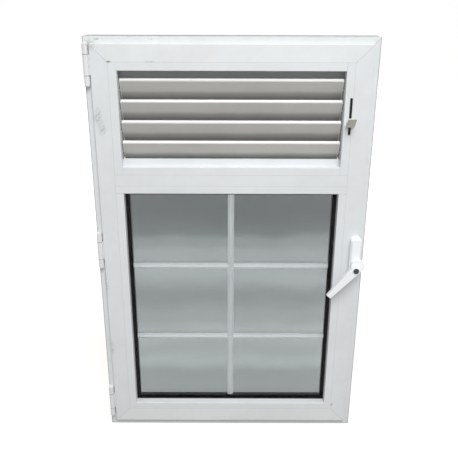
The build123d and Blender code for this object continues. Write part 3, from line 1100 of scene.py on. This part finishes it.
class LouvreDetails(bpy.types.Operator):
    """Model the brush strips that close the gaps at the slats' ends, dark as painted shade in those gaps, and
    the rim of the pull's slot.
    """

    bl_idname = "window.louvre_details"
    bl_label = "Louvre details"

    def execute(self, context):
        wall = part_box("louvre_side_right")[0].x
        pin_room, tuck, rear = 0.004, 0.0004, 0.0165
        levels = [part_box("louvre_rail_bottom")[1].z]
        for number in (4, 3, 2, 1):
            pivot = sum(corner.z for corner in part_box(f"louvre_slat_{number}")) / 2
            levels += [pivot - pin_room, pivot + pin_room]
        levels.append(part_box("louvre_rail_top")[0].z)
        strips = []
        for side in HANDED_PAIR:
            for number in range(0, len(levels), 2):
                left, right = sorted((side * (wall - sizes().brush_thickness), side * (wall + tuck)))
                strip = block(
                    f"brush {side} {number}",
                    (left, sizes().brush_front, levels[number]), (right, rear, levels[number + 1]),
                )
                with editing(strip):
                    pick_faces(strip, facing((-side, 0, 0)))
                    bpy.ops.mesh.inset(thickness=0.0006)
                    bpy.ops.transform.translate(value=(-side * 0.0002, 0, 0))
                strips.append(bevel_all(strip, 0.0003))
        # The strips' dark pile is painted shade in the gaps at the slats' ends.
        dress(group_pieces("louvre_brush_strips", strips), brush_pile_as_gap_shade())
        self.slot_frame()
        return {"FINISHED"}

    def slot_frame(self):
        """Thin black rim round the slot, proud of the paint by the thickness of its flange."""
        rim, flange = sizes().slot_rim, 0.0006
        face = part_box("louvre_side_right")[0].y
        low = (SLOT_X - SLOT_WIDTH / 2 - rim, face - flange, SLOT_LOW - rim)
        high = (SLOT_X + SLOT_WIDTH / 2 + rim, face + flange, SLOT_LOW + SLOT_LENGTH + rim)
        frame_piece = block("louvre_slot_rim", low, high)
        with editing(frame_piece):
            pick_faces(frame_piece, lambda face: abs(face.normal.y) > 0.9)
            bpy.ops.mesh.inset(thickness=rim)
            bpy.ops.mesh.bridge_edge_loops()
        bevel_all(frame_piece, 0.0002)
        dress(frame_piece, dark_plastic())


class SashDetails(bpy.types.Operator):
    """Model the drain covers on the sash's outdoor face."""

    bl_idname = "window.sash_details"
    bl_label = "Sash details"

    def execute(self, context):
        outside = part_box("sash_bottom_rail")[1].y
        half, foot, head, depth = sizes().drain_length / 2, 0.044, 0.053, 0.004
        covers = []
        for side in HANDED_PAIR:
            x = side * sizes().drain_place
            cover = block(f"cover {side}", (x - half, outside, foot), (x + half, outside + depth, head))
            with editing(cover):
                pick_faces(cover, facing((0, 1, 0)))
                bpy.ops.mesh.inset(thickness=0.0015)
                bpy.ops.transform.resize(value=(0.96, 1, 0.7))
                pick_faces(cover, facing((0, 0, -1)))
                bpy.ops.mesh.inset(thickness=0.0008)
                bpy.ops.mesh.extrude_region_move(TRANSFORM_OT_translate={"value": (0, 0, depth)})
            covers.append(bevel_all(cover, 0.0005))
        dress(group_pieces("drain_covers", covers), bead_paint())
        return {"FINISHED"}


class Studio(bpy.types.Operator):
    """Set the pale floor, the lamp, the surrounding light and the camera."""

    bl_idname = "window.studio"
    bl_label = "Studio"

    def execute(self, context):
        self.floor()
        self.lamp()
        self.surroundings()
        self.camera()
        context.scene.view_settings.view_transform = "Standard"
        return {"FINISHED"}

    def floor(self):
        clear_selection()
        bpy.ops.mesh.primitive_plane_add(size=14, location=(0, 0, -0.0005))
        ground = settle(bpy.context.object, "floor")
        with editing(ground):
            bpy.ops.mesh.select_all(action="SELECT")
            bpy.ops.mesh.subdivide(number_cuts=3)
        material, tree, shader = new_material("Pale floor")
        shader.inputs["Base Color"].default_value = studio().floor_colour
        shader.inputs["Roughness"].default_value = 0.9
        shader.inputs["Specular IOR Level"].default_value = 0.0
        shader.inputs["Emission Color"].default_value = (1, 1, 1, 1)
        far = add_node(tree, "ShaderNodeVectorMath", operation="LENGTH")
        tree.links.new(object_place(tree), far.inputs[0])
        glow = map_range(tree, far.outputs["Value"], 0.7, 2.2, 0.74, 1.0)
        tree.links.new(times(tree, seen_rays(tree), glow), shader.inputs["Emission Strength"])
        ground.data.materials.append(material)

    def lamp(self):
        """Large soft lamp above and in front, which no mirror or pane shows."""
        settings = studio()
        light = bpy.data.lights.new("overhead lamp", "AREA")
        light.shape = "SQUARE"
        light.size = settings.lamp_size
        light.energy = settings.lamp_power
        holder = bpy.data.objects.new("overhead lamp", light)
        holder.location = settings.lamp_place
        towards = Vector(settings.lamp_target) - Vector(settings.lamp_place)
        holder.rotation_euler = towards.to_track_quat("-Z", "Y").to_euler()
        holder.visible_glossy = False
        holder.visible_transmission = False
        bpy.context.scene.collection.objects.link(holder)

    def surroundings(self):
        """Even white for the eye, and a softer light from above for the surfaces."""
        world = bpy.data.worlds.new("Soft room")
        world.use_nodes = True
        bpy.context.scene.world = world
        tree = world.node_tree
        background = tree.nodes["Background"]
        background.inputs["Color"].default_value = (1, 1, 1, 1)
        direction = split_place(tree, add_node(tree, "ShaderNodeTexCoord").outputs["Generated"])
        rise = larger(tree, direction["Z"], 0.0)
        soft = plus(tree, times(tree, rise, studio().sky_strength), studio().room_strength)
        seen = seen_rays(tree)
        unseen = times(tree, soft, minus(tree, 1.0, seen))
        tree.links.new(larger(tree, seen, unseen), background.inputs["Strength"])

    def camera(self):
        settings = studio()
        forward = Vector((
            math.sin(settings.yaw) * math.cos(settings.pitch),
            math.cos(settings.yaw) * math.cos(settings.pitch),
            -math.sin(settings.pitch),
        ))
        level = Vector((math.cos(settings.yaw), -math.sin(settings.yaw), 0))
        upward = level.cross(forward)
        right = math.cos(settings.roll) * level + math.sin(settings.roll) * upward
        top = -math.sin(settings.roll) * level + math.cos(settings.roll) * upward
        eye = bpy.data.cameras.new("camera")
        eye.lens = settings.lens
        eye.sensor_width = 36
        eye.clip_start = 0.05
        eye.clip_end = 60
        holder = bpy.data.objects.new("camera", eye)
        holder.matrix_world = Matrix.Translation(settings.camera_place) @ Matrix(
            (right, top, -forward)
        ).transposed().to_4x4()
        bpy.context.scene.collection.objects.link(holder)
        bpy.context.scene.camera = holder


OPERATORS = (FinishSolids, GlazingBars, HandleDetails, HingeDetails, LouvreDetails, SashDetails, Studio)


class WindowPanel(bpy.types.Panel):
    """Lists the steps and settings of the window."""

    bl_idname = "VIEW3D_PT_window"
    bl_label = "Louvred window"
    bl_space_type = "VIEW_3D"
    bl_region_type = "UI"
    bl_category = "Window"

    def draw(self, context):
        layout = self.layout
        for operator in OPERATORS:
            layout.operator(operator.bl_idname)
        for settings in (sizes(), finishes(), studio()):
            box = layout.box()
            for label in settings.__annotations__:
                box.prop(settings, label)


CLASSES = (WindowSizes, WindowFinishes, StudioSettings, *OPERATORS, WindowPanel)


def register():
    for item in CLASSES:
        bpy.utils.register_class(item)
    bpy.types.Scene.window_sizes = PointerProperty(type=WindowSizes)
    bpy.types.Scene.window_finishes = PointerProperty(type=WindowFinishes)
    bpy.types.Scene.window_studio = PointerProperty(type=StudioSettings)


def unregister():
    del bpy.types.Scene.window_studio
    del bpy.types.Scene.window_finishes
    del bpy.types.Scene.window_sizes
    for item in reversed(CLASSES):
        bpy.utils.unregister_class(item)


def main():
    register()
    bpy.ops.window.finish_solids()
    bpy.ops.window.glazing_bars()
    bpy.ops.window.handle_details()
    bpy.ops.window.hinge_details()
    bpy.ops.window.louvre_details()
    bpy.ops.window.sash_details()
    bpy.ops.window.studio()


if __name__ == "__main__":
    main()
